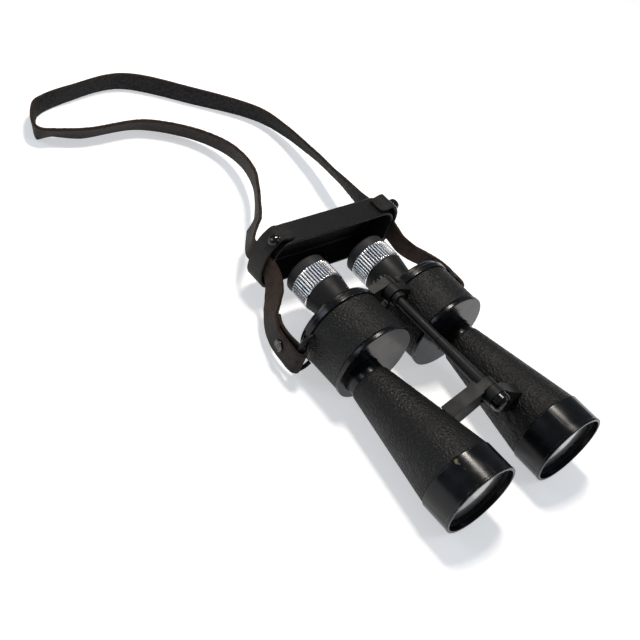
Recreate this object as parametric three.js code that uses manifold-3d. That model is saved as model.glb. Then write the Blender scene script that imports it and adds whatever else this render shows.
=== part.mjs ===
// Prism binoculars with a leather neck strap and a rain guard, lying on a table.
// Millimetres, +X towards the right barrel, +Y from eyepieces to objectives, +Z up.
import * as THREE from 'three';
import { mergeVertices } from 'three/addons/utils/BufferGeometryUtils.js';
import Module from 'manifold-3d';

const wasm = await Module();
wasm.setup();

// ---- driving dimensions -------------------------------------------------------------------
const GAP = 0.3;                          // clearance between neighbouring pieces
const TILT = THREE.MathUtils.degToRad(1.668); // the barrels lie on cell and rear cover
const LIFT = 28.66;                       // height of the objective axis above the table
const FORWARD = 115.7;                    // objective rims ahead of the frame's origin

const OBJECTIVE_X = 45.9;                 // objective axes, either side of the hinge plane
const CELL_R = 28.0;
const CELL_LENGTH = 23.0;
const CELL_BORE = 26.2;
const LENS_SEAT_Y = -12;
const TUBE_FRONT_R = 27.35;               // leather surface at the cell
const TUBE_BACK_R = 14.5;                 // leather surface at the neck
const TUBE_BACK_Y = -106;
const NECK_R = 13.6;
const LEATHER = 0.8;

const DRUM_X = 36.55;                     // prism housing axis
const DRUM_Z = 6.6;
const DRUM_R = 29.0;
const COVER_R = 30.8;
const DRUM_FRONT_Y = -114.3;
const DRUM_BACK_Y = -149.3;
const COVER_BACK_Y = -156.8;

const EYE_X = 29.0;                       // eyepiece axis: 58 mm between the eyes
const EYE_Z = 10.75;
const PRISM_SHIFT = 14.2;                 // each prism moves the beam this far sideways
const PRISM_WIDTH = 17;
const SHELF_Y = -135.5;                   // rear face of the shelf between the prisms
const SHELF_THICKNESS = 3.0;

const FOCUS_RIBS = 45;
const FOCUS_R = 16.05;
const EYECUP_R = 15.6;

const HINGE_Z = 27.55;
const KNUCKLE_R = 7.0;
const FRONT_CLEAR_R = KNUCKLE_R + 2;        // a web keeps this far from the other arm's knuckle
const REAR_CLEAR_R = KNUCKLE_R + 3.5;
const NUT_R = 6.6;
const AXLE_R = 2.4;
const ROD_R = 3.2;

const GUARD_X = -9.6;                     // rain guard centre and half size
const GUARD_HALF = 58.4;
const GUARD_LOW = -8;
const GUARD_HIGH = 29;
const GUARD_BACK_Y = -231.5;
const GUARD_FRONT_Y = -212;
const GUARD_CORNER = 13;
const GUARD_WALL = 1.6;
const TAB_THICKNESS = 2.0;
const TAB_STANDOFF = 4.1;                 // room for the strap between tab and guard
const TAB_BACK_Y = -228;
const TAB_FRONT_Y = -213.5;
const SNAP_R = 4.1;
const SNAP_Y = -217.7;
const SNAP_TURN = THREE.MathUtils.degToRad(46);

const STRAP_WIDTH = 17;
const STRAP_THICKNESS = 2.5;
const RIVET_GAP = 0.5;                    // the strap curves under the flat rivet
const LEFT_LUG_TURN = THREE.MathUtils.degToRad(19); // the left bail sits further up its drum
const ASIDE = 2.35;                       // centres the box that the two bails make uneven

// ---- materials ----------------------------------------------------------------------------
function finish(color, roughness, metalness) {
  return new THREE.MeshStandardMaterial({ color, roughness, metalness });
}
const ENAMEL = finish(0x0b0c0e, 0.22, 0.3);
const SATIN = finish(0x151617, 0.5, 0.3);
const GRAIN_LEATHER = finish(0x141414, 0.6, 0);
const CHROME = finish(0xd8dade, 0.16, 1);
const EYECUP_BLACK = finish(0x17181a, 0.65, 0);
const GLASS = finish(0xb9c4c8, 0.05, 0);
const BLACKENED = finish(0x101010, 0.7, 0.2);
const BRASS = finish(0x9a7b43, 0.35, 1);
const SPRING_STEEL = finish(0x8a8d90, 0.4, 1);
const STRAP_LEATHER = finish(0x2a221f, 0.8, 0);
const TAB_LEATHER = finish(0x2b2724, 0.75, 0);
const GUARD_LEATHER = finish(0x0f1011, 0.55, 0);

// ---- geometry helpers ---------------------------------------------------------------------
function signedVolume(geometry) {
  const p = geometry.attributes.position;
  const index = geometry.index;
  const [a, b, c] = [new THREE.Vector3(), new THREE.Vector3(), new THREE.Vector3()];
  let six = 0;
  for (let i = 0; i < index.count; i += 3) {
    a.fromBufferAttribute(p, index.getX(i));
    b.fromBufferAttribute(p, index.getX(i + 1));
    c.fromBufferAttribute(p, index.getX(i + 2));
    six += a.dot(b.cross(c));
  }
  return six / 6;
}

// Merge coincident vertices, drop collapsed triangles and turn the faces outwards.
function closed(geometry) {
  const bare = geometry.clone();
  bare.deleteAttribute('normal');
  bare.deleteAttribute('uv');
  const merged = mergeVertices(bare, 1e-4);
  const source = merged.index.array;
  const kept = [];
  for (let i = 0; i < source.length; i += 3) {
    const [a, b, c] = [source[i], source[i + 1], source[i + 2]];
    if (a !== b && b !== c && c !== a) kept.push(a, b, c);
  }
  merged.setIndex(kept);
  if (signedVolume(merged) < 0) {
    for (let i = 0; i < kept.length; i += 3) {
      [kept[i + 1], kept[i + 2]] = [kept[i + 2], kept[i + 1]];
    }
    merged.setIndex(kept);
  }
  merged.computeVertexNormals();
  return merged;
}

function solid(geometry) {
  const g = closed(geometry);
  return new wasm.Manifold(new wasm.Mesh({
    numProp: 3,
    vertProperties: new Float32Array(g.attributes.position.array),
    triVerts: new Uint32Array(g.index.array),
  }));
}

function geometryOf(manifold) {
  const mesh = manifold.getMesh();
  const geometry = new THREE.BufferGeometry();
  geometry.setAttribute('position', new THREE.BufferAttribute(mesh.vertProperties, 3));
  geometry.setIndex(new THREE.BufferAttribute(mesh.triVerts, 1));
  return geometry;
}

// A turned piece about its own Y axis from [radius, y] points, closed on itself or on the axis.
function turned(profile, segments = 32) {
  const points = profile.map(([r, y]) => new THREE.Vector2(r, y));
  const first = profile[0];
  const last = profile[profile.length - 1];
  if (first[0] > 0 || last[0] > 0) points.push(points[0].clone());
  return closed(new THREE.LatheGeometry(points, segments));
}

// A shape drawn in X and Z, with its holes, extruded from y0 to y1.
function slab(shape, y0, y1, curveSegments = 24) {
  const geometry = new THREE.ExtrudeGeometry(shape, {
    depth: y1 - y0,
    bevelEnabled: false,
    curveSegments,
  });
  geometry.rotateX(Math.PI / 2);
  geometry.translate(0, y1, 0);
  return closed(geometry);
}

function polygon(points) {
  return new THREE.Shape(points.map(([x, z]) => new THREE.Vector2(x, z)));
}

function circle(x, z, r) {
  const path = new THREE.Shape();
  path.absarc(x, z, r, 0, 2 * Math.PI, false);
  return path;
}

// The mirror image in the hinge plane, for the left barrel.
function sided(geometry, side) {
  return side > 0 ? geometry : closed(geometry.clone().scale(-1, 1, 1));
}

const binoculars = new THREE.Group();
binoculars.position.x = ASIDE;
const instrument = new THREE.Group();
instrument.rotation.x = TILT;
instrument.position.set(0, FORWARD, LIFT);
binoculars.add(instrument);

function put(parent, name, geometry, material, x = 0, y = 0, z = 0) {
  const mesh = new THREE.Mesh(geometry, material);
  mesh.name = name;
  mesh.position.set(x, y, z);
  parent.add(mesh);
  return mesh;
}

// ---- one barrel ---------------------------------------------------------------------------
function tubeLeatherRadius(y) {
  const slope = (TUBE_FRONT_R - TUBE_BACK_R) / (-CELL_LENGTH - GAP - TUBE_BACK_Y);
  return TUBE_BACK_R + slope * (y - TUBE_BACK_Y);
}

function objectiveCell() {
  return turned([
    [CELL_BORE, 0],
    [CELL_BORE, LENS_SEAT_Y],
    [24.2, LENS_SEAT_Y],
    [24.2, -17],
    [25.2, -17],
    [25.2, -CELL_LENGTH],
    [CELL_R, -CELL_LENGTH],
    [CELL_R, -2],
    [CELL_R + 0.2, -1.6],
    [CELL_R + 0.2, 0],
  ], 36);
}

// A lens between two [radius, y] curves: `front` and `back` are the heights over the edge.
function lens(radius, edgeFront, edgeBack, front, back, segments = 20) {
  const steps = 3;
  const profile = [];
  for (let i = 0; i <= steps; i += 1) {
    const t = i / steps;
    profile.push([radius * t, edgeFront + front * (1 - t * t)]);
  }
  for (let i = steps; i >= 0; i -= 1) {
    const t = i / steps;
    profile.push([radius * t, edgeBack + back * (1 - t * t)]);
  }
  return turned(profile, segments);
}

function objectiveTube() {
  const front = -CELL_LENGTH - GAP;
  const skin = LEATHER + GAP;
  const wall = 1.6;
  return turned([
    [24.8, -17.4],
    [24.8, front],
    [tubeLeatherRadius(front) - skin, front],
    [TUBE_BACK_R - skin, TUBE_BACK_Y],
    [NECK_R, TUBE_BACK_Y - GAP],
    [NECK_R, DRUM_FRONT_Y - 3.2],
    [NECK_R - wall, DRUM_FRONT_Y - 3.2],
    [TUBE_BACK_R - skin - wall, TUBE_BACK_Y],
    [24.8 - wall, front],
    [24.8 - wall, -17.4],
  ], 28);
}

function tubeLeather() {
  const front = -CELL_LENGTH - GAP;
  return turned([
    [TUBE_FRONT_R, front],
    [TUBE_BACK_R, TUBE_BACK_Y],
    [TUBE_BACK_R - LEATHER, TUBE_BACK_Y],
    [TUBE_FRONT_R - LEATHER, front],
  ], 32);
}

// Offsets of the beam from the drum axis: in from the objective, between prisms, out to the eye.
const BEAM_IN = new THREE.Vector2(OBJECTIVE_X - DRUM_X, -DRUM_Z);
const BEAM_OUT = new THREE.Vector2(EYE_X - DRUM_X, EYE_Z - DRUM_Z);
const BEAM_ANGLE = Math.atan2(BEAM_OUT.y - BEAM_IN.y, BEAM_OUT.x - BEAM_IN.x);
const FIRST_SHIFT = new THREE.Vector2(PRISM_SHIFT, 0)
  .rotateAround(new THREE.Vector2(), BEAM_ANGLE - Math.PI / 4);
const BEAM_MID = BEAM_IN.clone().add(FIRST_SHIFT);

function frontCover() {
  const shape = circle(0, 0, COVER_R - 0.2);
  shape.holes.push(circle(BEAM_IN.x, BEAM_IN.y, NECK_R + GAP));
  return slab(shape, DRUM_FRONT_Y - 3, DRUM_FRONT_Y, 20);
}

function prismHousing() {
  return turned([
    [DRUM_R, DRUM_FRONT_Y - 3.3],
    [DRUM_R, DRUM_BACK_Y + GAP],
    [DRUM_R - 1.5, DRUM_BACK_Y + GAP],
    [DRUM_R - 1.5, DRUM_FRONT_Y - 3.3],
  ], 32);
}

function housingLeather() {
  const inner = DRUM_R + GAP;
  const outer = DRUM_R + 1;
  return turned([
    [outer, DRUM_FRONT_Y - 4.3],
    [outer, DRUM_BACK_Y + GAP],
    [inner, DRUM_BACK_Y + GAP],
    [inner, DRUM_FRONT_Y - 4.3],
  ], 32);
}

// A cup with two steps outside and an offset hole for the eyepiece.
function rearCover() {
  const cup = solid(turned([
    [0, COVER_BACK_Y],
    [DRUM_R, COVER_BACK_Y],
    [DRUM_R, DRUM_BACK_Y - 4.2],
    [COVER_R, DRUM_BACK_Y - 4.2],
    [COVER_R, DRUM_BACK_Y],
    [DRUM_R - 1.5, DRUM_BACK_Y],
    [DRUM_R - 1.5, DRUM_BACK_Y - 4.2],
    [0, DRUM_BACK_Y - 4.2],
  ], 32));
  const hole = solid(slab(circle(BEAM_OUT.x, BEAM_OUT.y, 11), COVER_BACK_Y - 1, DRUM_BACK_Y, 12));
  return closed(geometryOf(cup.subtract(hole)));
}

function prismShelf() {
  const shape = circle(0, 0, DRUM_R - 1.8);
  for (const beam of [BEAM_IN, BEAM_MID, BEAM_OUT]) {
    shape.holes.push(circle(beam.x, beam.y, 6.5));
  }
  return slab(shape, SHELF_Y, SHELF_Y + SHELF_THICKNESS, 14);
}

// Half length and height of a right-angle prism with its ridge ground flat.
const PRISM_HALF = PRISM_SHIFT + 0.2;
const PRISM_HEIGHT = PRISM_HALF - 0.8;

// Lay an outline, drawn along the beam shift and away from the shelf, over two beam holes.
function overBeams(outline, depth, from, to, y, away) {
  const geometry = new THREE.ExtrudeGeometry(polygon(outline), { depth, bevelEnabled: false });
  geometry.translate(0, 0, -depth / 2);
  const along = to.clone().sub(from).normalize();
  const mid = from.clone().add(to).multiplyScalar(0.5);
  const basis = new THREE.Matrix4().makeBasis(
    new THREE.Vector3(along.x, 0, along.y),
    new THREE.Vector3(0, away, 0),
    new THREE.Vector3(-along.y * away, 0, along.x * away),
  );
  geometry.applyMatrix4(basis);
  geometry.translate(mid.x, y, mid.y);
  return closed(geometry);
}

const PRISM_OUTLINE = [
  [-PRISM_HALF, 0],
  [PRISM_HALF, 0],
  [PRISM_HALF - PRISM_HEIGHT, PRISM_HEIGHT],
  [PRISM_HEIGHT - PRISM_HALF, PRISM_HEIGHT],
];
const CLAMP_OUTLINE = [
  [-PRISM_HALF - 0.5, 0],
  [-1.0, PRISM_HEIGHT + GAP],
  [1.0, PRISM_HEIGHT + GAP],
  [PRISM_HALF + 0.5, 0],
  [PRISM_HALF + 1.3, 0],
  [1.3, PRISM_HEIGHT + 0.8],
  [-1.3, PRISM_HEIGHT + 0.8],
  [-PRISM_HALF - 1.3, 0],
];

function eyepieceBase() {
  return turned([
    [12.3, COVER_BACK_Y - GAP],
    [15.7, -177.3],
    [12.8, -177.3],
    [12.8, -186],
    [11, -186],
    [11, COVER_BACK_Y - GAP],
  ], 28);
}

// A fluted ring: ribs all round, slightly tapered towards the eye.
function focusRing() {
  const outline = [];
  for (let i = 0; i < 2 * FOCUS_RIBS; i += 1) {
    const angle = (i * Math.PI) / FOCUS_RIBS;
    const r = i % 2 ? FOCUS_R : FOCUS_R - 0.7;
    outline.push([r * Math.cos(angle), r * Math.sin(angle)]);
  }
  const shape = polygon(outline);
  shape.holes.push(circle(0, 0, 13.2));
  return slab(shape, -192.5, -177.6, 12);
}

function eyecup() {
  return turned([
    [EYECUP_R, -192.8],
    [EYECUP_R - 0.2, -198.8],
    [EYECUP_R - 1.1, -200],
    [12.6, -200],
    [9, -196.4],
    [7.5, -195.8],
    [7.5, -195.3],
    [11, -195.3],
    [11, -192.8],
  ], 28);
}

function ocularTube() {
  return turned([
    [10.7, -160],
    [10.7, -195],
    [9, -195],
    [9, -160],
  ], 24);
}

// The wire bail that carries the strap, in a plane across the barrel, turned about the drum.
function strapLug(turn) {
  const route = [
    [30.0, 5.3], [33.2, 4.6], [36.2, 1.4], [37, -3], [37, -12], [37, -21.5], [35.2, -25.2],
    [30.5, -26.6], [24, -25.6], [20.4, -22.7],
  ].map(([x, z]) => {
    const spot = new THREE.Vector2(x, z).rotateAround(new THREE.Vector2(), turn);
    return new THREE.Vector3(spot.x, -147.5, spot.y);
  });
  return closed(new THREE.ExtrudeGeometry(circle(0, 0, 1.5), {
    extrudePath: new THREE.CatmullRomCurve3(route),
    steps: 20,
    curveSegments: 4,
    bevelEnabled: false,
  }));
}

function barrel(side, name) {
  const add = (part, geometry, material, x = 0, z = 0) => {
    put(instrument, `${name}_${part}`, sided(geometry, side), material, side * x, 0, z);
  };
  const atObjective = (part, geometry, material) => add(part, geometry, material, OBJECTIVE_X);
  const atDrum = (part, geometry, material) => add(part, geometry, material, DRUM_X, DRUM_Z);
  const atEye = (part, geometry, material) => add(part, geometry, material, EYE_X, EYE_Z);

  atObjective('objective_cell', objectiveCell(), ENAMEL);
  atObjective('lens_retaining_ring', turned([
    [25.8, -3.4], [25.8, -5.9], [24.7, -5.9], [24.7, -3.4]], 24), BLACKENED);
  atObjective('objective_crown_lens', lens(25.7, -6.2, -7.9, 1.6, -1.6), GLASS);
  atObjective('objective_flint_lens', lens(25.7, -8.2, LENS_SEAT_Y + GAP, -1.6, 0), GLASS);
  atObjective('objective_tube', objectiveTube(), ENAMEL);
  atObjective('tube_leather', tubeLeather(), GRAIN_LEATHER);

  atDrum('front_cover', frontCover(), ENAMEL);
  atDrum('prism_housing', prismHousing(), ENAMEL);
  atDrum('housing_leather', housingLeather(), GRAIN_LEATHER);
  atDrum('rear_cover', rearCover(), ENAMEL);
  atDrum('prism_shelf', prismShelf(), BLACKENED);
  const rear = [BEAM_IN, BEAM_MID, SHELF_Y - GAP, -1];
  const front = [BEAM_MID, BEAM_OUT, SHELF_Y + SHELF_THICKNESS + GAP, 1];
  atDrum('rear_prism', overBeams(PRISM_OUTLINE, PRISM_WIDTH, ...rear), GLASS);
  atDrum('front_prism', overBeams(PRISM_OUTLINE, PRISM_WIDTH, ...front), GLASS);
  atDrum('rear_prism_clamp', overBeams(CLAMP_OUTLINE, 6, ...rear), SPRING_STEEL);
  atDrum('front_prism_clamp', overBeams(CLAMP_OUTLINE, 6, ...front), SPRING_STEEL);
  atDrum('strap_lug', strapLug(side > 0 ? 0 : LEFT_LUG_TURN), SATIN);

  atEye('eyepiece_base', eyepieceBase(), SATIN);
  atEye('ocular_tube', ocularTube(), BRASS);
  atEye('field_lens', lens(8.7, -161.2, -163.2, 0.8, 0, 16), GLASS);
  atEye('eye_lens', lens(8.7, -190.6, -192.6, 0.4, -1, 16), GLASS);
  atEye('focus_ring', focusRing(), CHROME);
  atEye('eyecup', eyecup(), EYECUP_BLACK);
}

barrel(1, 'right');
barrel(-1, 'left');

// ---- centre hinge -------------------------------------------------------------------------
// Outline of an arm from the hinge axis at 0,0 to a target disc: a knuckle and a tapered web.
function armShape(side, target, targetR, spreadDeg) {
  const direction = Math.atan2(target[1], target[0]);
  const reach = Math.hypot(...target);
  const spread = THREE.MathUtils.degToRad(spreadDeg);
  const half = (targetR * Math.sin(spread));
  const depth = reach - targetR * Math.cos(spread);
  const outline = [];
  const steps = 14;
  for (let i = 0; i <= steps; i += 1) {
    const angle = Math.PI / 2 + (Math.PI * i) / steps;
    outline.push([KNUCKLE_R * Math.cos(angle), KNUCKLE_R * Math.sin(angle)]);
  }
  outline.push([depth, -half], [depth, half]);
  const c = Math.cos(direction);
  const s = Math.sin(direction);
  return polygon(outline.map(([u, v]) => [side * (u * c - v * s), u * s + v * c]));
}

// A turned cutter, grown by the clearance, for the piece that the arm sits against.
function cutter(profile, x, z) {
  return solid(turned(profile, 32).translate(x, 0, z));
}

function arm(side, target, targetR, spread, knuckle, web, webClear, cutters) {
  const shape = armShape(side, target, targetR, spread);
  let body = solid(slab(shape, knuckle[0], knuckle[1]));
  const outside = solid(slab(circle(0, 0, webClear), web[0] - 1, web[1] + 1, 16));
  body = body.add(solid(slab(shape, web[0], web[1])).subtract(outside));
  body = body.subtract(solid(slab(circle(0, 0, AXLE_R + GAP), -170, -30, 10)));
  for (const other of cutters) body = body.subtract(other);
  return closed(geometryOf(body));
}

function frontArm(side, knuckle, web) {
  const x = side * OBJECTIVE_X;
  const tube = cutter([
    [0, web[0] - 3],
    [tubeLeatherRadius(web[0] - 3) + GAP, web[0] - 3],
    [tubeLeatherRadius(web[1] + 8) + GAP, web[1] + 8],
    [0, web[1] + 8],
  ], x, -HINGE_Z);
  return arm(side, [OBJECTIVE_X, -HINGE_Z], 22.6, 24, knuckle, web, FRONT_CLEAR_R, [tube]);
}

function rearArm(side, knuckle, web) {
  const drum = cutter([
    [0, -160],
    [COVER_R + GAP, -160],
    [COVER_R + GAP, -140],
    [0, -140],
  ], side * DRUM_X, DRUM_Z - HINGE_Z);
  return arm(side, [DRUM_X, DRUM_Z - HINGE_Z], COVER_R, 17, knuckle, web, REAR_CLEAR_R, [drum]);
}

function hinge() {
  const add = (name, geometry, material) => put(instrument, name, geometry, material, 0, 0, HINGE_Z);
  add('right_front_arm', frontArm(1, [-57.7, -51], [-60, -50]), SATIN);
  add('left_front_arm', frontArm(-1, [-50.7, -44], [-52, -43]), SATIN);
  add('right_rear_arm', rearArm(1, [-157, -150], [-156.8, -150.2]), ENAMEL);
  add('left_rear_arm', rearArm(-1, [-149.7, -143], [-156.8, -143.4]), ENAMEL);
  add('hinge_axle', turned([
    [0, -159.5],
    [AXLE_R, -159.5],
    [AXLE_R, -142.7],
    [5.5, -142.7],
    [5.5, -139],
    [ROD_R, -139],
    [ROD_R, -99.8],
    [AXLE_R, -99.8],
    [AXLE_R, -39],
    [0, -39],
  ], 20), SATIN);
  add('hinge_sleeve', turned([
    [3.5, -99.5],
    [4.4, -58],
    [AXLE_R + GAP, -58],
    [AXLE_R + GAP, -99.5],
  ], 20), SATIN);
  add('hinge_end_nut', turned([
    [AXLE_R + GAP, -43.7],
    [NUT_R, -43.7],
    [NUT_R, -39.5],
    [NUT_R - 1.2, -37.2],
    [2.8, -36.1],
    [0, -36],
    [0, -38.7],
    [AXLE_R + GAP, -38.7],
  ], 24), ENAMEL);
  add('hinge_rear_cap', turned([
    [AXLE_R + GAP, -157.3],
    [5.6, -157.3],
    [5.6, -159.6],
    [4, -161.2],
    [0, -161.6],
    [0, -159.8],
    [AXLE_R + GAP, -159.8],
  ], 24), ENAMEL);
}
hinge();

// ---- rain guard with its two keeper tabs --------------------------------------------------
function roundedBox(inset) {
  const shape = new THREE.Shape();
  const w = GUARD_HALF - inset;
  const low = GUARD_LOW + inset;
  const high = GUARD_HIGH - inset;
  const r = GUARD_CORNER - inset;
  shape.absarc(w - r, low + r, r, -Math.PI / 2, 0, false);
  shape.absarc(w - r, high - r, r, 0, Math.PI / 2, false);
  shape.absarc(r - w, high - r, r, Math.PI / 2, Math.PI, false);
  shape.absarc(r - w, low + r, r, Math.PI, 1.5 * Math.PI, false);
  return shape;
}

function rainGuard() {
  const outer = solid(slab(roundedBox(0), GUARD_BACK_Y, GUARD_FRONT_Y, 7));
  const inner = roundedBox(GUARD_WALL);
  const hollow = solid(slab(inner, GUARD_BACK_Y + GUARD_WALL, GUARD_FRONT_Y + 1, 7));
  return closed(geometryOf(outer.subtract(hollow)));
}

// The tab's middle line: flat on the top face, round the end with room inside, flat below.
function keeperLine() {
  const r = GUARD_CORNER + TAB_STANDOFF + TAB_THICKNESS / 2;
  const cx = GUARD_HALF - GUARD_CORNER;
  const high = GUARD_HIGH - GUARD_CORNER;
  const low = GUARD_LOW + GUARD_CORNER;
  const on = (z, deg) => {
    const a = THREE.MathUtils.degToRad(deg);
    return new THREE.Vector2(cx + r * Math.cos(a), z + r * Math.sin(a));
  };
  const lift = 0.35 + TAB_THICKNESS / 2;
  const points = [
    new THREE.Vector2(cx - 3.5, GUARD_HIGH + lift),
    new THREE.Vector2(cx + 1.5, GUARD_HIGH + lift + 0.2),
    ...[62, 45, 25, 0].map((deg) => on(high, deg)),
    ...[0, -25, -45, -62].map((deg) => on(low, deg)),
    new THREE.Vector2(cx + 1.5, GUARD_LOW - lift - 0.2),
    new THREE.Vector2(cx - 3.5, GUARD_LOW - lift),
  ];
  return new THREE.SplineCurve(points);
}

function keeperTab() {
  const line = keeperLine();
  const steps = 26;
  const outer = [];
  const inner = [];
  for (let i = 0; i <= steps; i += 1) {
    const p = line.getPoint(i / steps);
    const t = line.getTangent(i / steps);
    const n = new THREE.Vector2(t.y, -t.x).multiplyScalar(-TAB_THICKNESS / 2);
    outer.push([p.x + n.x, p.y + n.y]);
    inner.unshift([p.x - n.x, p.y - n.y]);
  }
  return slab(polygon([...outer, ...inner]), TAB_BACK_Y, TAB_FRONT_Y);
}

// A domed snap, turned about Y, its foot at y = 0.
function snapStud() {
  return turned([
    [0, 0],
    [SNAP_R, 0],
    [SNAP_R, 0.9],
    [SNAP_R - 0.5, 1.3],
    [3.2, 2.2],
    [1.9, 3],
    [0, 3.3],
  ], 20);
}

function rainGuardAssembly() {
  put(instrument, 'rain_guard', rainGuard(), GUARD_LEATHER, GUARD_X);
  const snapR = GUARD_CORNER + TAB_STANDOFF + TAB_THICKNESS + GAP + 0.3;
  const angle = SNAP_TURN;
  for (const [side, name] of [[1, 'right'], [-1, 'left']]) {
    put(instrument, `${name}_keeper_tab`, sided(keeperTab(), side), TAB_LEATHER, GUARD_X);
    const x = GUARD_HALF - GUARD_CORNER + snapR * Math.cos(angle);
    const z = GUARD_HIGH - GUARD_CORNER + snapR * Math.sin(angle);
    const snap = put(instrument, `${name}_snap`, snapStud(), SATIN, GUARD_X + side * x, SNAP_Y, z);
    snap.rotation.set(Math.PI / 2, 0, 0);
    snap.rotation.order = 'YXZ';
    snap.rotation.y = side * (Math.PI / 2 - angle);
  }
}
rainGuardAssembly();

// ---- neck strap ---------------------------------------------------------------------------
// x, y, z of the strap's middle on the table, and its lean from upright in degrees.
const STRAP_ROUTE = [
  [66, -63, 20, -8], [69.9, -55, 18.5, -3], [71.1, -46, 18, 0], [70.7, -38, 18, 0],
  [70.2, -32, 18, 0], [71.1, -28.2, 18, 0], [73.6, -26.6, 18, 0], [76.1, -28.2, 18, 0],
  [76.9, -31.8, 18, 0], [76.3, -38, 17.8, 0], [75.4, -46, 17.4, 0], [73.4, -55, 17.4, 0],
  [69, -64.5, 19, -8], [62.5, -73, 22, -22], [56.5, -80, 25.5, -28], [52.6, -87, 29, -18],
  [50.8, -95, 32.2, -2], [50.6, -106, 32.4, 0], [50.6, -113, 32.4, 0], [50.2, -118, 32.4, 0],
  [31.5, -137, 31, -17], [19.1, -148, 29, 5], [1.7, -168.8, 26, 13], [-12.1, -188.8, 22, 16],
  [-20.9, -213.9, 17, 24], [-20.8, -235.8, 12.5, 26], [-7.3, -258.6, 9.6, 28],
  [25.7, -278.7, 8.8, 29], [75.3, -281.7, 8.8, 28], [96.8, -288.1, 8.8, 37],
  [109.2, -291.1, 8.8, 24], [98.4, -314.2, 8.8, 13], [88.9, -320, 8.8, 3],
  [61.1, -326.5, 8.8, -6], [9.4, -330.4, 8.8, -10], [-40.5, -298.2, 8.8, -9],
  [-80.9, -263.9, 9.2, -19], [-88.8, -238.7, 11, -30], [-86.6, -202, 17, -39],
  [-78.4, -165.2, 25, -39], [-71.5, -132, 30.5, -22], [-70, -115, 32.4, 0],
  [-69.8, -107, 32.4, 0], [-69.8, -99, 32.4, 0], [-69.9, -92, 31, -5], [-71, -84, 28.6, -10],
  [-76, -75, 26.2, -15], [-82, -66, 25.6, -18], [-84, -55, 27.2, -19], [-82.5, -45, 29.5, -19],
  [-79.8, -37, 31.6, -19], [-78.6, -31.8, 32.8, -19], [-77.9, -26.5, 32.5, -15],
  [-75.5, -24.3, 31.7, 0], [-73.1, -26.5, 30.9, 15], [-72.4, -31.8, 30.6, 19],
  [-74.6, -38.5, 30.8, 19], [-78.9, -47, 29.2, 19], [-80.3, -54, 27.4, 19],
];
const RIGHT_RIVET_AT = 10;                // points of the route that carry the rivets
const LEFT_RIVET_AT = 49;
const STRAP_CENTRE = new THREE.CatmullRomCurve3(
  STRAP_ROUTE.map(([x, y, z]) => new THREE.Vector3(x, y, z)),
);

// The strap's middle and its three directions at a station, counted in route points.
function strapAt(station) {
  const segments = STRAP_ROUTE.length - 1;
  const middle = STRAP_CENTRE.getPoint(station / segments);
  const along = STRAP_CENTRE.getTangent(station / segments);
  const i = Math.min(Math.floor(station), segments - 1);
  const share = station - i;
  const lean = THREE.MathUtils.degToRad(
    STRAP_ROUTE[i][3] * (1 - share) + STRAP_ROUTE[i + 1][3] * share,
  );
  const across = new THREE.Vector3(along.y, -along.x, 0).normalize();
  const up = new THREE.Vector3(0, 0, Math.cos(lean)).addScaledVector(across, -Math.sin(lean));
  up.addScaledVector(along, -up.dot(along)).normalize();
  const out = new THREE.Vector3().crossVectors(up, along);
  return { middle, along, up, out };
}

// Sections of the flat strap, set upright along the route and turned by the lean.
function strap() {
  const segments = STRAP_ROUTE.length - 1;
  const stations = [];
  for (let i = 0; i < segments; i += 1) {
    stations.push(i);
    const chord = new THREE.Vector2(
      STRAP_ROUTE[i + 1][0] - STRAP_ROUTE[i][0],
      STRAP_ROUTE[i + 1][1] - STRAP_ROUTE[i][1],
    );
    if (chord.length() > 18) stations.push(i + 0.5);
  }
  stations.push(segments);
  const w = STRAP_WIDTH / 2;
  const t = STRAP_THICKNESS / 2;
  const c = 0.5;
  const section = [
    [w, t - c], [w - c, t], [c - w, t], [-w, t - c], [-w, c - t], [c - w, -t], [w - c, -t], [w, c - t],
  ];
  const positions = [];
  for (const station of stations) {
    const { middle, up, out } = strapAt(station);
    for (const [a, b] of section) {
      const q = middle.clone().addScaledVector(up, a).addScaledVector(out, b);
      positions.push(q.x, q.y, q.z);
    }
  }
  const n = section.length;
  const index = [];
  for (let k = 0; k < stations.length - 1; k += 1) {
    for (let j = 0; j < n; j += 1) {
      const [a, b] = [k * n + j, k * n + ((j + 1) % n)];
      index.push(a, b, b + n, a, b + n, a + n);
    }
  }
  const end = (stations.length - 1) * n;
  for (let j = 1; j < n - 1; j += 1) {
    index.push(0, j + 1, j, end, end + j, end + j + 1);
  }
  const geometry = new THREE.BufferGeometry();
  geometry.setAttribute('position', new THREE.Float32BufferAttribute(positions, 3));
  geometry.setIndex(index);
  return closed(geometry);
}

// The rivet that closes a folded strap end: a flat button on the strap's outer face.
function strapRivet(station) {
  const head = turned([
    [0, 0],
    [4.2, 0],
    [4.2, 0.6],
    [3.2, 1.3],
    [0, 1.5],
  ], 20);
  const { middle, along, up, out } = strapAt(station);
  const foot = middle.clone().addScaledVector(out, STRAP_THICKNESS / 2 + RIVET_GAP);
  head.applyMatrix4(new THREE.Matrix4().makeBasis(along, out, up.clone().negate()).setPosition(foot));
  return closed(head);
}

put(binoculars, 'neck_strap', strap(), STRAP_LEATHER);
put(binoculars, 'right_strap_rivet', strapRivet(RIGHT_RIVET_AT), SPRING_STEEL);
put(binoculars, 'left_strap_rivet', strapRivet(LEFT_RIVET_AT), SPRING_STEEL);

export default binoculars;
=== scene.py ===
"""Looks for a pair of folding prism binoculars with a neck strap and a rain guard.

Lengths are in millimetres in this file. `INSTRUMENT` takes a point from the barrels' own frame
(+Y along the objective axes, origin between the objective rims) to metres in the row frame, and
`TABLE` does the same for points that are measured from the table.
"""
import math

import bmesh
import bpy
from mathutils import Matrix, Vector, noise


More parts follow.
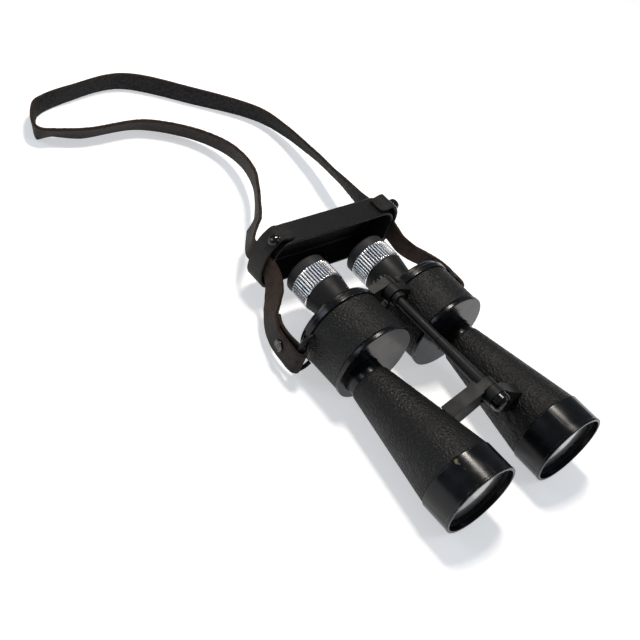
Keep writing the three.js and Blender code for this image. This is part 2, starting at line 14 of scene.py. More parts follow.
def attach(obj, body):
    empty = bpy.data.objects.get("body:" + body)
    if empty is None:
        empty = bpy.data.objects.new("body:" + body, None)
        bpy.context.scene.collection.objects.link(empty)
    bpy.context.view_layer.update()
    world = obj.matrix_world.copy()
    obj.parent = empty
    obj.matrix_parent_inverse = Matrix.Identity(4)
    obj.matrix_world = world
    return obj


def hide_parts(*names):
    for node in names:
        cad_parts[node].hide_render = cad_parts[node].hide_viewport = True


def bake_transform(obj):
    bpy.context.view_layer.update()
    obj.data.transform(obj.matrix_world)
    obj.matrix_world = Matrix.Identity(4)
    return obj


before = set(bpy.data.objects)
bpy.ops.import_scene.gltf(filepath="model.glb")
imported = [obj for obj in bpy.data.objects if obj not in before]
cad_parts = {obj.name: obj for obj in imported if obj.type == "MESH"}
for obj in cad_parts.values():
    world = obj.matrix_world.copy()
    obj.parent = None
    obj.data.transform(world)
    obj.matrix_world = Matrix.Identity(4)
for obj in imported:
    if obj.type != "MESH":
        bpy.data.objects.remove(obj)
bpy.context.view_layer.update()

# ---- driving dimensions, as in the CAD model ------------------------------------------------
TILT = math.radians(1.668)
ASIDE, FORWARD, LIFT = 2.35, 115.7, 28.66
MM = Matrix.Scale(0.001, 4)
TABLE = MM @ Matrix.Translation((ASIDE, 0, 0))
INSTRUMENT = MM @ Matrix.Translation((ASIDE, FORWARD, LIFT)) @ Matrix.Rotation(TILT, 4, "X")

OBJECTIVE_X = 45.9
CELL_R, CELL_LENGTH, CELL_BORE, LENS_SEAT_Y = 28.0, 23.0, 26.2, -12.0
TUBE_FRONT_R, TUBE_BACK_R, TUBE_BACK_Y = 27.35, 14.5, -106.0
NECK_R = 13.6
DRUM_X, DRUM_Z, DRUM_R, COVER_R = 36.55, 6.6, 29.0, 30.8
DRUM_FRONT_Y, DRUM_BACK_Y, COVER_BACK_Y = -114.3, -149.3, -156.8
EYE_X, EYE_Z = 29.0, 10.75
FOCUS_RIBS, FOCUS_R, FLUTE_DEPTH, EYECUP_R = 45, 16.05, 0.75, 15.6
RING_BACK_Y, RING_FRONT_Y, FLUTE_BACK_Y, FLUTE_FRONT_Y = -192.5, -177.6, -192.2, -178.0
HINGE_Z, NUT_R = 27.55, 6.6
LUG_Y, LUG_WIRE_R, LEFT_LUG_TURN = -147.5, 1.5, math.radians(19)
GUARD_X, GUARD_HALF, GUARD_LOW, GUARD_HIGH = -9.6, 58.4, -8.0, 29.0
GUARD_BACK_Y, GUARD_FRONT_Y, GUARD_CORNER, GUARD_WALL = -231.5, -212.0, 13.0, 1.6
TAB_THICKNESS, TAB_STANDOFF, TAB_BACK_Y, TAB_FRONT_Y = 2.0, 4.1, -228.0, -213.5
SNAP_R, SNAP_Y, SNAP_TURN = 4.1, -217.7, math.radians(46)
STRAP_WIDTH, STRAP_THICKNESS, STRAP_STEP = 17.0, 2.5, 1.3
LENS_R, LENS_FRONT_Y, LENS_BACK_Y, LENS_BULGE = 25.7, -6.2, -7.9, 1.6
GAP = 0.3

SIDES = ((1, "right"), (-1, "left"))
ROUND = 160                      # segments round a turned piece
EDGE_FADE = 0.5                  # mm over which wear fades beside a rounded edge
THREADED_REACH, THREADED_FADE = 18, 16   # mm about the guard's middle that the strap runs smooth
RUBBED_Y, RUBBED_REACH = -83, 10         # middle and half length of the strap's rubbed stretches
ARM_ROUNDING, ARM_SHARP = 0.6, math.radians(28)

# x, y, z of the strap's middle on the table, and its lean from upright in degrees
STRAP_ROUTE = (
    (66, -63, 20, -8), (69.9, -55, 18.5, -3), (71.1, -46, 18, 0), (70.7, -38, 18, 0),
    (70.2, -32, 18, 0), (71.1, -28.2, 18, 0), (73.6, -26.6, 18, 0), (76.1, -28.2, 18, 0),
    (76.9, -31.8, 18, 0), (76.3, -38, 17.8, 0), (75.4, -46, 17.4, 0), (73.4, -55, 17.4, 0),
    (69, -64.5, 19, -8), (62.5, -73, 22, -22), (56.5, -80, 25.5, -28), (52.6, -87, 29, -18),
    (50.8, -95, 32.2, -2), (50.6, -106, 32.4, 0), (50.6, -113, 32.4, 0), (50.2, -118, 32.4, 0),
    (31.5, -137, 31, -17), (19.1, -148, 29, 5), (1.7, -168.8, 26, 13), (-12.1, -188.8, 22, 16),
    (-20.9, -213.9, 17, 24), (-20.8, -235.8, 12.5, 26), (-7.3, -258.6, 9.6, 28),
    (25.7, -278.7, 8.8, 29), (75.3, -281.7, 8.8, 28), (96.8, -288.1, 8.8, 37),
    (109.2, -291.1, 8.8, 24), (98.4, -314.2, 8.8, 13), (88.9, -320, 8.8, 3),
    (61.1, -326.5, 8.8, -6), (9.4, -330.4, 8.8, -10), (-40.5, -298.2, 8.8, -9),
    (-80.9, -263.9, 9.2, -19), (-88.8, -238.7, 11, -30), (-86.6, -202, 17, -39),
    (-78.4, -165.2, 25, -39), (-71.5, -132, 30.5, -22), (-70, -115, 32.4, 0),
    (-69.8, -107, 32.4, 0), (-69.8, -99, 32.4, 0), (-69.9, -92, 31, -5), (-71, -84, 28.6, -10),
    (-76, -75, 26.2, -15), (-82, -66, 25.6, -18), (-84, -55, 27.2, -19), (-82.5, -45, 29.5, -19),
    (-79.8, -37, 31.6, -19), (-78.6, -31.8, 32.8, -19), (-77.9, -26.5, 32.5, -15),
    (-75.5, -24.3, 31.7, 0), (-73.1, -26.5, 30.9, 15), (-72.4, -31.8, 30.6, 19),
    (-74.6, -38.5, 30.8, 19), (-78.9, -47, 29.2, 19), (-80.3, -54, 27.4, 19),
)
RIVETS_AT = (10, 49)             # points of the route that carry the right and left rivets


# ---- camera, light and floor ----------------------------------------------------------------
def camera():
    """The view from above the objectives, towards the strap."""
    data = bpy.data.cameras.new("camera")
    data.lens = 67.59
    data.sensor_width = 36.0
    obj = bpy.data.objects.new("camera", data)
    bpy.context.scene.collection.objects.link(obj)
    right = Vector((-0.71598, 0.61521, 0.32999))
    up = Vector((-0.26693, -0.67801, 0.68488))
    back = Vector((0.64507, 0.40228, 0.64966))
    place = Matrix((right, up, back)).transposed().to_4x4()
    place.translation = TABLE @ Vector((558.529, 274.564, 546.713))
    obj.matrix_world = place
    bpy.context.scene.camera = obj


def softbox(name, spot, target, size, power, color=(1, 1, 1)):
    """A square area light at `spot` that faces `target`, all in metres."""
    data = bpy.data.lights.new(name, "AREA")
    data.shape = "RECTANGLE"
    data.size, data.size_y = size
    data.energy = power
    data.color = color
    obj = bpy.data.objects.new(name, data)
    bpy.context.scene.collection.objects.link(obj)
    obj.location = spot
    direction = Vector(target) - Vector(spot)
    obj.rotation_euler = direction.to_track_quat("-Z", "Y").to_euler()


def studio():
    """A pale, faintly glowing floor under a small warm light and two weak bluish fills."""
    world = bpy.data.worlds.new("studio")
    bpy.context.scene.world = world
    world.use_nodes = True
    background = world.node_tree.nodes["Background"]
    background.inputs["Color"].default_value = (0.85, 0.92, 1.0, 1)
    background.inputs["Strength"].default_value = 0.2
    overhead = Vector((-0.07, -0.28, 0.96)).normalized()
    centre = Vector((0.0, -0.02, 0.02))
    softbox("overhead", centre + overhead * 1.1, centre, (0.18, 0.18), 8, (1.0, 0.93, 0.85))
    softbox("left_fill", (1.2, -0.9, 0.9), centre, (0.6, 0.6), 4, (0.8, 0.9, 1.0))
    softbox("right_fill", (-1.0, 0.9, 1.0), centre, (0.5, 0.5), 3, (0.8, 0.9, 1.0))
    bpy.ops.mesh.primitive_plane_add(size=8)
    floor = bpy.context.object
    floor.name = "floor"
    material = bpy.data.materials.new("floor_white")
    material.use_nodes = True
    shader = material.node_tree.nodes["Principled BSDF"]
    shader.inputs["Base Color"].default_value = (0.86, 0.86, 0.86, 1)
    shader.inputs["Roughness"].default_value = 0.9
    shader.inputs["Emission Color"].default_value = (0.97, 0.98, 1.0, 1)
    shader.inputs["Emission Strength"].default_value = 0.5
    floor.data.materials.append(material)


camera()
studio()
bpy.context.scene.view_settings.view_transform = "Standard"


# ---- materials ------------------------------------------------------------------------------
class Finish:
    """A Principled material with small helpers to wire procedural textures into it."""

    def __init__(self, name, color, roughness, metallic=0.0, specular=0.5):
        self.material = bpy.data.materials.new(name)
        self.material.use_nodes = True
        self.tree = self.material.node_tree
        self.shader = self.tree.nodes["Principled BSDF"]
        self.shader.inputs["Base Color"].default_value = (*color, 1)
        self.shader.inputs["Roughness"].default_value = roughness
        self.shader.inputs["Metallic"].default_value = metallic
        self.shader.inputs["Specular IOR Level"].default_value = specular
        self.place = self.tree.nodes.new("ShaderNodeTexCoord").outputs["Object"]

    def put(self, socket, value):
        """Link an output to `socket`, or set it to a number or colour."""
        if isinstance(value, bpy.types.NodeSocket):
            self.tree.links.new(value, socket)
        elif isinstance(value, tuple) and len(value) == 3 and socket.type == "RGBA":
            socket.default_value = (*value, 1)
        else:
            socket.default_value = value

    def noise(self, scale, detail=4.0, rough=0.55, stretch=None):
        node = self.tree.nodes.new("ShaderNodeTexNoise")
        node.inputs["Scale"].default_value = scale
        node.inputs["Detail"].default_value = detail
        node.inputs["Roughness"].default_value = rough
        self.put(node.inputs["Vector"], self.stretched(stretch))
        return node.outputs["Fac"]

    def cells(self, scale):
        node = self.tree.nodes.new("ShaderNodeTexVoronoi")
        node.feature = "SMOOTH_F1"
        node.inputs["Scale"].default_value = scale
        node.inputs["Smoothness"].default_value = 0.5
        self.put(node.inputs["Vector"], self.place)
        return node.outputs["Distance"]

    def stretched(self, stretch):
        if not stretch:
            return self.place
        node = self.tree.nodes.new("ShaderNodeMapping")
        node.inputs["Scale"].default_value = stretch
        self.put(node.inputs["Vector"], self.place)
        return node.outputs["Vector"]

    def math(self, kind, a, b):
        node = self.tree.nodes.new("ShaderNodeMath")
        node.operation = kind
        self.put(node.inputs[0], a)
        self.put(node.inputs[1], b)
        return node.outputs[0]

    def ramp(self, value, low, high, out_low=0.0, out_high=1.0):
        node = self.tree.nodes.new("ShaderNodeMapRange")
        self.put(node.inputs["Value"], value)
        for key, number in (("From Min", low), ("From Max", high), ("To Min", out_low), ("To Max", out_high)):
            node.inputs[key].default_value = number
        return node.outputs["Result"]

    def mix(self, share, a, b):
        node = self.tree.nodes.new("ShaderNodeMix")
        node.data_type = "RGBA"
        self.put(node.inputs["Factor"], share)
        self.put(node.inputs[6], a)
        self.put(node.inputs[7], b)
        return node.outputs[2]

    def attribute(self, name):
        node = self.tree.nodes.new("ShaderNodeAttribute")
        node.attribute_name = name
        return node.outputs["Fac"]

    def bump(self, height, distance, strength):
        node = self.tree.nodes.new("ShaderNodeBump")
        node.inputs["Distance"].default_value = distance
        node.inputs["Strength"].default_value = strength
        self.put(node.inputs["Height"], height)
        self.put(self.shader.inputs["Normal"], node.outputs["Normal"])

    def color(self, value):
        self.put(self.shader.inputs["Base Color"], value)

    def roughness(self, value):
        self.put(self.shader.inputs["Roughness"], value)

    def metallic(self, value):
        self.put(self.shader.inputs["Metallic"], value)


def enamel():
    """Gloss black enamel: slight orange peel, fine dust and scratches, brass at worn edges."""
    m = Finish("black_enamel", (0.004, 0.0045, 0.006), 0.16, specular=0.3)
    grime = m.noise(90, 5)
    scratch = m.noise(260, 2, stretch=(1, 0.06, 1))
    edge = m.math("MULTIPLY", m.attribute("edge"), m.noise(420, 5, 0.7))
    worn = m.ramp(edge, 0.57, 0.64)
    base = m.mix(m.ramp(grime, 0.4, 0.75), (0.0018, 0.0022, 0.0035), (0.005, 0.0055, 0.007))
    m.color(m.mix(worn, base, (0.17, 0.15, 0.09)))
    rough = m.math("ADD", m.ramp(grime, 0.35, 0.7, 0.16, 0.27), m.ramp(scratch, 0.64, 0.72, 0, 0.12))
    m.roughness(m.math("ADD", rough, m.math("MULTIPLY", worn, 0.2)))
    m.metallic(m.math("MULTIPLY", worn, 0.8))
    m.bump(m.noise(600, 2), 0.00002, 0.5)
    return m.material


def button():
    """Polished black of the press studs."""
    m = Finish("stud_black", (0.004, 0.005, 0.007), 0.08, specular=0.4)
    m.roughness(m.ramp(m.noise(500, 4), 0.4, 0.7, 0.07, 0.15))
    return m.material


def satin():
    """Satin black on metal, with rubbed lighter edges."""
    m = Finish("satin_black", (0.014, 0.014, 0.016), 0.4, specular=0.22)
    cloud = m.noise(120, 5)
    edge = m.ramp(m.math("MULTIPLY", m.attribute("edge"), m.noise(380, 4, 0.7)), 0.5, 0.62)
    base = m.mix(cloud, (0.006, 0.006, 0.007), (0.015, 0.0145, 0.013))
    m.color(m.mix(edge, base, (0.05, 0.046, 0.042)))
    m.roughness(m.ramp(cloud, 0.3, 0.75, 0.42, 0.6))
    m.bump(m.noise(1500, 3), 0.00003, 0.5)
    return m.material


def pebble_leather(name, size, deep, light, dark, bump, rough=(0.42, 0.62)):
    """Pressed leather: rounded pebbles `size` mm wide, with creases and greasy patches."""
    m = Finish(name, dark, 0.55, specular=0.3)
    wobble = m.noise(1000 / size * 0.35, 3)
    pebbles = m.cells(1000 / size)
    fine = m.cells(2300 / size)
    patches = m.noise(38, 4)
    relief = m.math("ADD", m.ramp(pebbles, 0.05, 0.6, 1, 0), m.math("MULTIPLY", wobble, deep))
    relief = m.math("ADD", relief, m.ramp(fine, 0.1, 0.6, 0.25, 0))
    crest = m.ramp(relief, 0.5, 1.5)
    m.color(m.mix(m.math("MULTIPLY", crest, patches), dark, light))
    m.roughness(m.math("ADD", m.ramp(patches, 0.35, 0.65, *rough), m.ramp(pebbles, 0.2, 0.6, 0, 0.12)))
    m.bump(relief, bump, 0.9)
    return m.material


def tab_leather():
    """Dark grey-brown leather with open pores, and brown at its cut edges."""
    m = Finish("tab_leather", (0.05, 0.043, 0.038), 0.7, specular=0.22)
    cloud = m.noise(140, 6, 0.65)
    pores = m.cells(1300)
    edge = m.attribute("edge")
    base = m.mix(m.ramp(cloud, 0.35, 0.7), (0.006, 0.006, 0.0065), (0.032, 0.029, 0.026))
    m.color(m.mix(edge, base, (0.03, 0.02, 0.014)))
    m.roughness(m.ramp(cloud, 0.3, 0.7, 0.55, 0.8))
    m.bump(m.math("ADD", m.ramp(pores, 0.0, 0.4), m.noise(500, 5, 0.7)), 0.00012, 0.8)
    return m.material


def strap_leather():
    """Rough dark leather, brown where the finish has worn off: the cut edges and the handled ends."""
    m = Finish("strap_leather", (0.04, 0.03, 0.025), 0.75, specular=0.22)
    outer = m.ramp(m.attribute("outer"), 0.35, 0.65)
    cloud = m.noise(110, 6, 0.65)
    mottle = m.noise(420, 6, 0.75)
    pits = m.ramp(m.cells(620), 0.05, 0.3)
    flesh = m.mix(m.ramp(mottle, 0.4, 0.68), (0.0045, 0.0055, 0.0075), (0.034, 0.032, 0.031))
    skin = m.mix(m.ramp(mottle, 0.36, 0.68), (0.007, 0.0058, 0.0054), (0.032, 0.024, 0.0195))
    brown = m.mix(m.ramp(cloud, 0.32, 0.7), (0.014, 0.0075, 0.0055), (0.06, 0.033, 0.02))
    brown = m.mix(m.math("MULTIPLY", m.ramp(pits, 0.0, 0.9, 1, 0), 0.8), brown, (0.01, 0.007, 0.006))
    m.color(m.mix(m.attribute("edge"), m.mix(outer, flesh, skin), brown))
    m.roughness(m.ramp(outer, 0, 1, 0.85, 0.68))
    relief = m.math("ADD", m.math("MULTIPLY", pits, 0.8), m.noise(900, 6, 0.75))
    depth = m.ramp(outer, 0, 1, 1.0, 0.8)
    m.bump(m.math("MULTIPLY", relief, depth), 0.0006, 1.0)
    return m.material


def chrome():
    """Bright chrome with fine pitting, a grey film, and painted shade that darkens the flute hollows almost
    to black.
    """
    m = Finish("chrome", (0.8, 0.81, 0.83), 0.14, metallic=1.0)
    film = m.ramp(m.noise(240, 5), 0.45, 0.75)
    hollow = m.attribute("hollow")
    # painted shade: the deeper the flute hollow, the nearer the chrome's colour comes to black
    hollow_shade = m.math("MULTIPLY", hollow, 0.94)
    m.color(m.mix(hollow_shade, m.mix(film, (0.78, 0.8, 0.84), (0.5, 0.49, 0.48)), (0.012, 0.012, 0.014)))
    m.roughness(m.math("ADD", m.ramp(film, 0, 1, 0.16, 0.3), m.math("MULTIPLY", hollow, 0.4)))
    m.bump(m.noise(1400, 3), 0.00002, 0.4)
    return m.material


def metal(name, dark, light, rough):
    """Plain turned metal with a little tarnish."""
    m = Finish(name, light, rough, metallic=1.0)
    cloud = m.noise(300, 5)
    m.color(m.mix(m.ramp(cloud, 0.35, 0.7), dark, light))
    m.roughness(m.ramp(cloud, 0.3, 0.7, rough, rough + 0.2))
    m.bump(m.noise(1500, 3), 0.00002, 0.4)
    return m.material


def eyecup_plastic():
    """Matt dark eyecup with a faint bloom."""
    m = Finish("eyecup_black", (0.022, 0.022, 0.024), 0.6, specular=0.35)
    cloud = m.noise(160, 5)
    m.color(m.mix(cloud, (0.008, 0.008, 0.009), (0.022, 0.022, 0.024)))
    m.roughness(m.ramp(cloud, 0.3, 0.7, 0.5, 0.7))
    m.bump(m.noise(1800, 4), 0.00004, 0.6)
    return m.material


def lacquer():
    """Matt black lacquer inside the barrels."""
    m = Finish("blackened_brass", (0.01, 0.01, 0.01), 0.8, specular=0.2)
    m.color(m.mix(m.noise(200), (0.006, 0.006, 0.006), (0.018, 0.017, 0.016)))
    m.bump(m.noise(900), 0.00005, 0.5)
    return m.material


def glass(name, tint, dust):
    """Clear glass with a trace of dust and smears."""
    m = Finish(name, tint, 0.02, specular=0.5)
    m.shader.inputs["Transmission Weight"].default_value = 1.0
    m.shader.inputs["IOR"].default_value = 1.52
    m.roughness(m.ramp(m.noise(70, 6, 0.7), 0.45, 0.8, 0.01, dust))
    m.bump(m.noise(60, 2), 0.00001, 0.1)
    return m.material


def front_glass():
    """The objective's front: dark hazy glass under a strongly reflecting coating."""
    m = Finish("coated_glass_front", (0.06, 0.063, 0.068), 0.3, specular=0.5)
    m.shader.inputs["Coat Weight"].default_value = 1.0
    m.shader.inputs["Coat IOR"].default_value = 2.2
    m.shader.inputs["Coat Roughness"].default_value = 0.08
    m.color(m.mix(m.ramp(m.noise(45, 5, 0.6), 0.35, 0.75), (0.045, 0.048, 0.053), (0.085, 0.088, 0.093)))
    return m.material


ENAMEL = enamel()
SATIN = satin()
BUTTON = button()
TUBE_SKIN = pebble_leather("grain_leather", 1.7, 0.6, (0.013, 0.0115, 0.009), (0.003, 0.003, 0.0032), 0.0004,
                           (0.36, 0.52))
GUARD_SKIN = pebble_leather("guard_leather", 0.7, 0.4, (0.007, 0.007, 0.0075), (0.0025, 0.0025, 0.003),
                            0.00012, (0.32, 0.46))
TAB_SKIN = tab_leather()
STRAP_SKIN = strap_leather()
CHROME = chrome()
EYECUP = eyecup_plastic()
LACQUER = lacquer()
STEEL = metal("spring_steel", (0.25, 0.25, 0.26), (0.6, 0.6, 0.62), 0.22)
DARK_STEEL = metal("dark_steel", (0.03, 0.03, 0.032), (0.13, 0.128, 0.122), 0.16)
BRASS = metal("brass", (0.35, 0.26, 0.12), (0.62, 0.48, 0.26), 0.25)
LENS = glass("coated_glass", (0.93, 0.96, 0.97), 0.05)
PRISM = glass("prism_glass", (0.95, 0.97, 0.96), 0.03)
FRONT_LENS = front_glass()


# ---- mesh helpers ---------------------------------------------------------------------------
def piece(name, points, faces, body, material, space=INSTRUMENT, node=None, marks=None):
    """A smooth mesh from points in mm, riding on a body, in place of a CAD node."""
    mesh = bpy.data.meshes.new(name)
    mesh.from_pydata([space @ Vector(p) for p in points], [], faces)
    for key, values in (marks or {}).items():
        mesh.attributes.new(key, "FLOAT", "POINT").data.foreach_set("value", values)
    work = bmesh.new()
    work.from_mesh(mesh)
    bmesh.ops.recalc_face_normals(work, faces=work.faces)
    work.to_mesh(mesh)
    work.free()
    mesh.shade_smooth()
    mesh.set_sharp_from_angle(angle=math.radians(38))
    mesh.materials.append(material)
    obj = bpy.data.objects.new(name, mesh)
    bpy.context.scene.collection.objects.link(obj)
    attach(obj, body)
    if node:
        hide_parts(node)
    return obj


def soften(outline, steps=4):
    """A closed outline of (a, b, radius) corners as (a, b, edge) points, with rounded corners."""
    result = []
    count = len(outline)
    for i, (a, b, radius) in enumerate(outline):
        corner = Vector((a, b))
        if not radius:
            result.append((a, b, 0.0))
            continue
        before = Vector(outline[i - 1][:2]) - corner
        after = Vector(outline[(i + 1) % count][:2]) - corner
        half = before.angle(after, math.pi) / 2
        reach = min(radius / max(math.tan(half), 0.05), 0.48 * before.length, 0.48 * after.length)
        start = corner + before.normalized() * reach
        end = corner + after.normalized() * reach
        lead = min(EDGE_FADE, 0.1 * before.length, 0.1 * after.length)
        flat = start + before.normalized() * lead
        result.append((flat.x, flat.y, 0.0))
        for k in range(steps + 1):
            t = k / steps
            spot = start * (1 - t) ** 2 + corner * (2 * t * (1 - t)) + end * t * t
            result.append((spot.x, spot.y, 1.0))
        flat = end + after.normalized() * lead
        result.append((flat.x, flat.y, 0.0))
    return result


def skin(rings, closed_along=True, caps=()):
    """Faces over rings of equal size; `caps` lists the end rings that get one flat face."""
    size = len(rings[0])
    points = [p for ring in rings for p in ring]
    faces = []
    count = len(rings)
    for k in range(count if closed_along else count - 1):
        a, b = k * size, ((k + 1) % count) * size
        for j in range(size):
            n = (j + 1) % size
            faces.append((a + j, a + n, b + n, b + j))
    for k in caps:
        start = (k % count) * size
        faces.append(tuple(range(start, start + size)))
    return points, faces


def spokes(count):
    """The angles of `count` points evenly round a circle."""
    return [2 * math.pi * j / count for j in range(count)]


def eccentric(name, sections, body, material, node, chip=None, segments=ROUND):
    """A loft of circles (x, z, radius, y, edge), joined into a ring-shaped solid.

    `chip` is (angle, y, width) of a spot where the enamel is worn through.
    """
    rings, marks = [], []
    for x, z, radius, y, edge in sections:
        ring = []
        for angle in spokes(segments):
            ring.append((x + radius * math.cos(angle), y, z + radius * math.sin(angle)))
            bare = 0.0
            if chip:
                away = math.hypot(radius * (angle - chip[0]), y - chip[1])
                bare = 2.2 * max(0.0, 1 - away / chip[2])
            marks.append(max(edge, bare))
        rings.append(ring)
    points, faces = skin(rings)
    piece(name, points, faces, body, material, node=node, marks={"edge": marks})


def turned(name, outline, x, z, body, slot, material, node, chip=None, segments=ROUND):
    """A turned piece about the line x, z along Y, from (radius, y, rounding) corners."""
    sections = [(x, z, *point) for point in soften(outline)]
    eccentric(name, sections, body, material, node, chip, segments)


def plugged(name, outline, place, body, material, node, segments=96, space=INSTRUMENT):
    """A solid turned piece about its own +Z, from open (radius, height, rounding) corners.

    The outline starts and ends on the axis. `place` is the matrix that sets it down, in mm.
    """
    profile = soften(outline)
    rings, marks = [], []
    for radius, height, edge in profile:
        r = max(radius, 0.01)
        ring = [place @ Vector((r * math.cos(a), r * math.sin(a), height)) for a in spokes(segments)]
        marks += [edge] * segments
        rings.append(ring)
    points, faces = skin(rings, closed_along=False, caps=(0, -1))
    return piece(name, points, faces, body, material, space=space, node=node, marks={"edge": marks})


def facing(direction, spot):
    """The matrix that turns +Z towards `direction` and moves to `spot`."""
    turn = Vector(direction).to_track_quat("Z", "Y").to_matrix().to_4x4()
    return Matrix.Translation(spot) @ turn


def between(a, b, start, end, at):
    """The point at parameter `at` on the line that is a at `start` and b at `end`."""
    return a * ((end - at) / (end - start)) + b * ((at - start) / (end - start))


def centripetal(points, spacing):
    """Evenly spaced points, and their place in the list, on the curve that the CAD model uses."""
    knots = [Vector(p) for p in points]
    path = [knots[0] * 2 - knots[1], *knots, knots[-1] * 2 - knots[-2]]
    pieces_each = 24
    dense = []
    for i in range(len(knots) - 1):
        p0, p1, p2, p3 = path[i:i + 4]
        t1 = (p1 - p0).length ** 0.5
        t2 = t1 + (p2 - p1).length ** 0.5
        t3 = t2 + (p3 - p2).length ** 0.5
        for k in range(pieces_each):
            at = t1 + (t2 - t1) * k / pieces_each
            a1, a2, a3 = between(p0, p1, 0, t1, at), between(p1, p2, t1, t2, at), between(p2, p3, t2, t3, at)
            b1, b2 = between(a1, a2, 0, t2, at), between(a2, a3, t1, t3, at)
            dense.append((between(b1, b2, t1, t2, at), i + k / pieces_each))
    dense.append((knots[-1], float(len(knots) - 1)))
    total = sum((b[0] - a[0]).length for a, b in zip(dense, dense[1:]))
    count = max(2, round(total / spacing))
    even, walked = [dense[0]], 0.0
    for (a, u), (b, v) in zip(dense, dense[1:]):
        length = (b - a).length
        while len(even) < count and walked + length >= len(even) * total / count:
            share = (len(even) * total / count - walked) / length
            even.append((a.lerp(b, share), u + (v - u) * share))
        walked += length
    even.append(dense[-1])
    return even, total


# ---- the strap ------------------------------------------------------------------------------
def strap_frame(path, k):
    """Middle, up, out and along at point k of the strap's path."""
    middle, station = path[k]
    along = (path[min(k + 1, len(path) - 1)][0] - path[max(k - 1, 0)][0]).normalized()
    i = min(int(station), len(STRAP_ROUTE) - 2)
    share = station - i
    lean = math.radians(STRAP_ROUTE[i][3] * (1 - share) + STRAP_ROUTE[i + 1][3] * share)
    across = Vector((along.y, -along.x, 0)).normalized()
    up = Vector((0, 0, math.cos(lean))) - across * math.sin(lean)
    up = (up - along * up.dot(along)).normalized()
    return middle, up, up.cross(along), along


def strap_section():
    """The strap's cross-section as (up, out, outer face) points, with softly rounded edges."""
    w, t = STRAP_WIDTH / 2, STRAP_THICKNESS / 2
    across = 10
    points = [(w - 0.5 - (2 * w - 1) * k / across, t, 1.0) for k in range(across + 1)]
    points += [(-w + 0.12, t * 0.72, 0.3), (-w, t * 0.3, 0.0)]
    points += [(-w, -t * 0.3, 0.0), (-w + 0.12, -t * 0.72, 0.0)]
    points += [(-w + 0.5 + (2 * w - 1) * k / across, -t, 0.0) for k in range(across + 1)]
    points += [(w - 0.12, -t * 0.72, 0.0), (w, -t * 0.3, 0.0), (w, t * 0.3, 0.0), (w - 0.12, t * 0.72, 0.3)]
    return points


def threaded(spot):
    """1 where the strap runs through the rain guard, falling to 0 on both sides of it."""
    if abs(spot.x) >= 80:
        return 0.0
    middle = FORWARD + (GUARD_BACK_Y + GUARD_FRONT_Y) / 2
    away = max(0.0, abs(spot.y - middle) - THREADED_REACH)
    return max(0.0, 1 - away / THREADED_FADE)


def strap():
    """One long flat leather strap, its edges a little ragged."""
    path, total = centripetal([p[:3] for p in STRAP_ROUTE], STRAP_STEP)
    section = strap_section()
    rings, outer, bare = [], [], []
    for k in range(len(path)):
        middle, up, out, _ = strap_frame(path, k)
        at = k * STRAP_STEP
        calm = threaded(middle)
        rubbed = 0.8 * max(0.0, min(1.0, 2.0 - abs(middle.y - RUBBED_Y) / RUBBED_REACH))
        narrow = 1 - 0.02 * calm + 0.018 * noise.noise(Vector((at / 23, 0.5, 7)))
        narrow += 0.008 * noise.noise(Vector((at / 4, 3, 1)))
        cup = 0.22 * (1 - calm) * noise.noise(Vector((at / 40, 9, 2)))
        ring = []
        for a, b, face in section:
            rough = 0.16 * noise.fractal(Vector((at / 2.2, a / 2.2, b + 5)), 0.8, 2.1, 3)
            edge = abs(a) * 2 / STRAP_WIDTH
            wide = a * narrow
            if edge > 0.98:
                wide -= math.copysign(0.55 * abs(noise.noise(Vector((at / 2.4, a, b)))), a)
            coarse = (0.35 + 1.5 * (1 - face * (1 - rubbed))) * (1 - calm)
            depth = b * (1 - 0.24 * calm) + cup * (edge ** 2) - math.copysign(coarse * rough, b)
            ring.append(middle + up * wide + out * depth)
            outer.append(face)
            bare.append(max(rubbed, 1.0 if edge > 0.98 else 0.0))
        rings.append(ring)
    points, faces = skin(rings, closed_along=False, caps=(0, -1))
    obj = piece("neck_strap_leather", points, faces, "right_barrel", STRAP_SKIN,
                space=TABLE, marks={"outer": outer, "edge": bare})
    return obj, path, total


def strap_rivet(path, station, name, body):
    """A pressed rivet head with a rolled rim, on the strap's outer face."""
    k = min(range(len(path)), key=lambda n: abs(path[n][1] - station))
    middle, up, out, along = strap_frame(path, k)
    foot = middle + out * (STRAP_THICKNESS / 2 + 0.15)
    place = Matrix((along, -up, out)).transposed().to_4x4()
    place.translation = foot
    head = [(0, -0.1, 0), (4.2, -0.1, 0.1), (4.25, 0.7, 0.4), (3.7, 1.15, 0.35), (3.1, 0.75, 0.3),
            (2.2, 0.95, 0.5), (0, 1.15, 0)]
    return plugged(name + "_head", head, place, body, DARK_STEEL, node=name, space=TABLE)


def dress_strap():
    band, path, total = strap()
    for station, (_, name), body in zip(RIVETS_AT, SIDES, ("right_barrel", "left_barrel")):
        strap_rivet(path, station, f"{name}_strap_rivet", body)
    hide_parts("neck_strap")
    band.parent = None           # taken off the right barrel, so it rides on no body
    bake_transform(band)


dress_strap()


# ---- barrels --------------------------------------------------------------------------------
def wrinkles(x, side, amount):
    """A warp that raises pebbles and, near the hinge side and both edges, coarse folds."""
    def warp(radius, angle, y):
        spot = Vector((radius * math.cos(angle), y, radius * math.sin(angle)))
        fine = noise.noise(spot / 1.3 + Vector((x, 0, 0)))
        folds = 1 - 2 * abs(noise.noise(Vector((spot.x / 3.2, spot.y / 5.5, spot.z / 3.2 + x))))
        inner = max(0.0, math.cos(angle - (math.pi if side > 0 else 0)))
        return radius + 0.05 * fine + amount * folds * inner ** 2
    return warp


